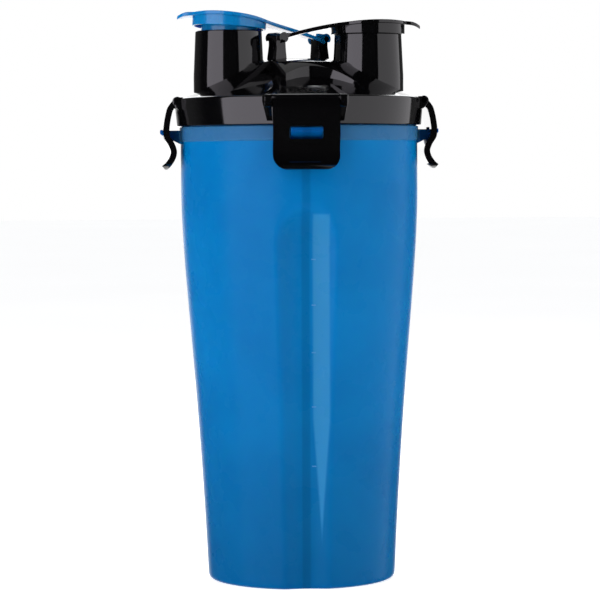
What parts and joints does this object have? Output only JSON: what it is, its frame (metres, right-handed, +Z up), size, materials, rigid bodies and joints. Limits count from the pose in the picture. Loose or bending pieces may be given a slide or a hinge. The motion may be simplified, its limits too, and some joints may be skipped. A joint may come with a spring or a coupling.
{
  "type": "protein shaker bottle",
  "caption": "Translucent blue shaker bottle with a divider between two chambers, a black lid with two spouts under flip caps, and swinging side latches.",
  "frame": {"origin": "centre of the base, on the surface that the bottle stands on", "axes": "+Z up along the bottle, +X from the left spout to the right one, -Y is the front; the divider lies in the YZ plane"},
  "size_m": [0.1226, 0.1226, 0.2505],
  "materials": {
    "cup_blue": "translucent moulded polypropylene, smooth",
    "black_gloss": "high gloss moulded",
    "blue_gloss": "gloss moulded",
    "silicone": "soft silicone",
    "grid_black": "fine moulded texture"
  },
  "bodies": {
    "root": {"cup_body": "cup_blue", "lid_shell": "black_gloss", "spout_right": "black_gloss", "spout_left": "black_gloss", "rim_gasket": "silicone", "divider_seal": "silicone", "latch_pin_right": "black_gloss", "latch_pin_back": "black_gloss", "latch_pin_left": "black_gloss", "latch_pin_front": "black_gloss", "cap_pin_right": "black_gloss", "cap_pin_left": "black_gloss", "grid_right": "grid_black", "grid_left": "grid_black"},
    "latch_right": {"latch_right": "black_gloss"},
    "latch_back": {"latch_back": "black_gloss"},
    "latch_left": {"latch_left": "black_gloss"},
    "latch_front": {"latch_front": "black_gloss"},
    "cap_right": {"cap_right": "black_gloss", "cap_seal_right": "silicone"},
    "cap_left": {"cap_left": "blue_gloss", "cap_seal_left": "silicone"}
  },
  "joints": [
    {"name": "latch_right_hinge", "type": "hinge", "parent": "root", "child": "latch_right", "pos_m": [0.0538, 0, 0.2108], "axis": [0, -1, 0], "range_deg": [0, 110]},
    {"name": "latch_back_hinge", "type": "hinge", "parent": "root", "child": "latch_back", "pos_m": [0, 0.0538, 0.2108], "axis": [1, 0, 0], "range_deg": [0, 110]},
    {"name": "latch_left_hinge", "type": "hinge", "parent": "root", "child": "latch_left", "pos_m": [-0.0538, 0, 0.2108], "axis": [0, 1, 0], "range_deg": [0, 110]},
    {"name": "latch_front_hinge", "type": "hinge", "parent": "root", "child": "latch_front", "pos_m": [0, -0.0538, 0.2108], "axis": [-1, 0, 0], "range_deg": [0, 110]},
    {"name": "cap_right_hinge", "type": "hinge", "parent": "root", "child": "cap_right", "pos_m": [-0.0098, -0.0085, 0.2386], "axis": [0.5, -0.866, 0], "range_deg": [0, 100]},
    {"name": "cap_left_hinge", "type": "hinge", "parent": "root", "child": "cap_left", "pos_m": [0.0098, 0.0085, 0.2386], "axis": [-0.5, 0.866, 0], "range_deg": [-4.5, 95.5]}
  ]
}
